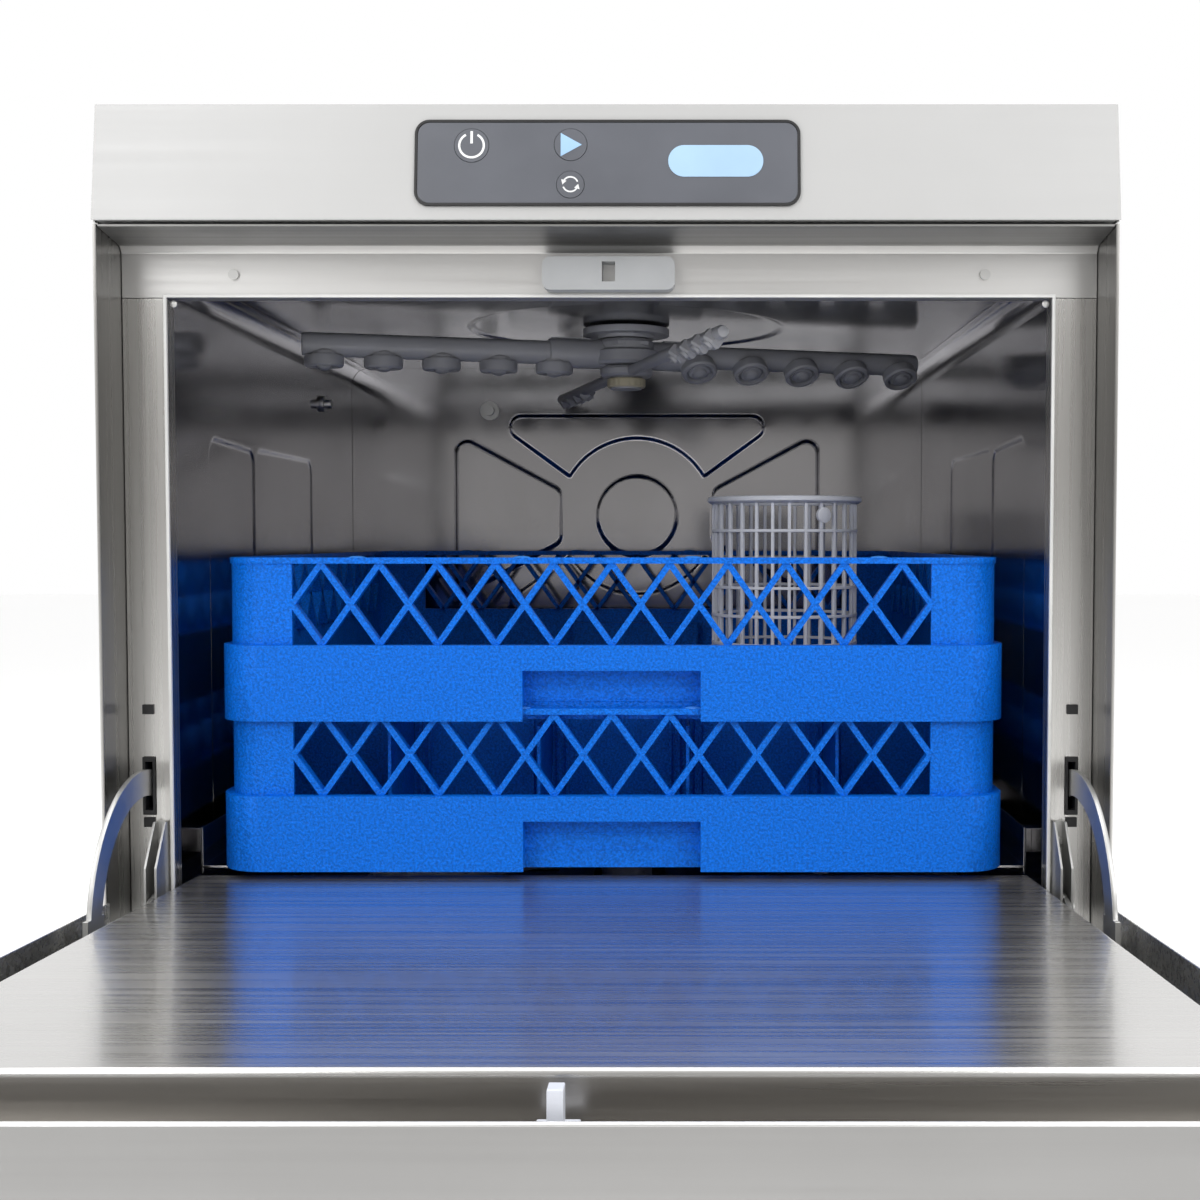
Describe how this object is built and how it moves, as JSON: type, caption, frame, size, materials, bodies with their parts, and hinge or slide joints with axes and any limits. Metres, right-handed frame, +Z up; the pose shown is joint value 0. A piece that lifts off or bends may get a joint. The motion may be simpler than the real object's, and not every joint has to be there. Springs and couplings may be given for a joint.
{
  "type": "undercounter glass washer",
  "caption": "Front-loading stainless undercounter glass washer with a drop-down door, stacked square racks, a round basket and rotating wash and rinse arms.",
  "frame": {"origin": "middle of the floor area that the machine takes with its door open", "axes": "+X to the user's right, +Y to the back of the machine, +Z up"},
  "size_m": [0.6008, 1.0199, 0.82],
  "materials": {
    "brushed_steel": "satin",
    "polished_steel": "polished",
    "grey_plastic": "matte",
    "nut_plastic": "matte",
    "black_plastic": "matte",
    "overlay_film": "satin",
    "label_film": "satin",
    "rack_blue": "pebbled",
    "basket_grey": "matte",
    "white_silicone": "matte",
    "foot_plastic": "matte",
    "board_green": "satin",
    "brass_fitting": "satin"
  },
  "bodies": {
    "cabinet": {"arm_guides": "black_plastic", "base_tray": "brushed_steel", "booster_boiler": "polished_steel", "cable_gland": "black_plastic", "chamber_back_wall": "polished_steel", "chamber_ceiling": "polished_steel", "chamber_left_wall": "polished_steel", "chamber_nozzles": "polished_steel", "chamber_right_wall": "polished_steel", "control_board": "board_green", "control_fascia": "brushed_steel", "control_overlay": "overlay_film", "door_jambs": "brushed_steel", "door_springs": "brushed_steel", "door_switch": "black_plastic", "dosing_pumps": "black_plastic", "drain_pump": "black_plastic", "drain_spigot": "grey_plastic", "feet": "foot_plastic", "fill_valve": "brass_fitting", "front_sill": "brushed_steel", "header_panel": "brushed_steel", "hinge_brackets": "brushed_steel", "hinge_pins": "brushed_steel", "label_plate": "label_film", "latch_striker": "grey_plastic", "lower_front_panel": "brushed_steel", "lower_spindle": "grey_plastic", "opening_seal": "white_silicone", "overflow_standpipe": "grey_plastic", "overlay_bezel": "black_plastic", "panel_screws": "brushed_steel", "rack_rails": "brushed_steel", "rear_panel": "brushed_steel", "side_panels": "brushed_steel", "tank_heater": "polished_steel", "tank_strainers": "brushed_steel", "top_cover": "brushed_steel", "upper_arm_nut": "nut_plastic", "upper_spindle": "grey_plastic", "wash_pipes": "black_plastic", "wash_pump": "black_plastic", "wash_tank": "polished_steel"},
    "door": {"door_outer_skin": "brushed_steel", "door_inner_panel": "brushed_steel", "door_handle": "brushed_steel", "door_arms": "brushed_steel", "door_catch": "basket_grey", "door_hinge_lugs": "brushed_steel"},
    "upper_sprays": {"upper_wash_arm": "grey_plastic", "upper_rinse_arm": "grey_plastic"},
    "lower_sprays": {"lower_wash_arm": "grey_plastic", "lower_rinse_arm": "grey_plastic"},
    "lower_rack": {"lower_rack": "rack_blue", "glass_dividers": "rack_blue"},
    "upper_rack": {"upper_rack": "rack_blue"},
    "cutlery_basket": {"cutlery_basket": "basket_grey"},
    "power_button": {"power_button": "overlay_film"},
    "start_button": {"start_button": "overlay_film"},
    "cycle_button": {"cycle_button": "overlay_film"}
  },
  "joints": [
    {"name": "door_hinge", "type": "hinge", "parent": "cabinet", "child": "door", "pos_m": [0, -0.1104, 0.34], "axis": [-1, 0, 0], "range_deg": [0, 87]},
    {"name": "upper_spray_turn", "type": "hinge", "parent": "cabinet", "child": "upper_sprays", "pos_m": [0, 0.176, 0.71], "axis": [0, 0, 1], "continuous": true},
    {"name": "lower_spray_turn", "type": "hinge", "parent": "cabinet", "child": "lower_sprays", "pos_m": [0, 0.176, 0.322], "axis": [0, 0, 1], "continuous": true},
    {"name": "rack_slide", "type": "slide", "parent": "cabinet", "child": "lower_rack", "axis": [0, 0.9986, -0.0523], "range_m": [-0.38, 0]},
    {"name": "upper_rack_lift", "type": "slide", "parent": "lower_rack", "child": "upper_rack", "axis": [0, 0, 1], "range_m": [0, 0.03]},
    {"name": "basket_lift", "type": "slide", "parent": "upper_rack", "child": "cutlery_basket", "axis": [0, 0, 1], "range_m": [0, 0.04]},
    {"name": "power_press", "type": "slide", "parent": "cabinet", "child": "power_button", "axis": [0, 0.9916, -0.1293], "range_m": [0, 0.0008], "stiffness_N_per_m": 600, "springref_m": -0.0006},
    {"name": "start_press", "type": "slide", "parent": "cabinet", "child": "start_button", "axis": [0, 0.9916, -0.1293], "range_m": [0, 0.0008], "stiffness_N_per_m": 600, "springref_m": -0.0006},
    {"name": "cycle_press", "type": "slide", "parent": "cabinet", "child": "cycle_button", "axis": [0, 0.9916, -0.1293], "range_m": [0, 0.0008], "stiffness_N_per_m": 600, "springref_m": -0.0006}
  ]
}
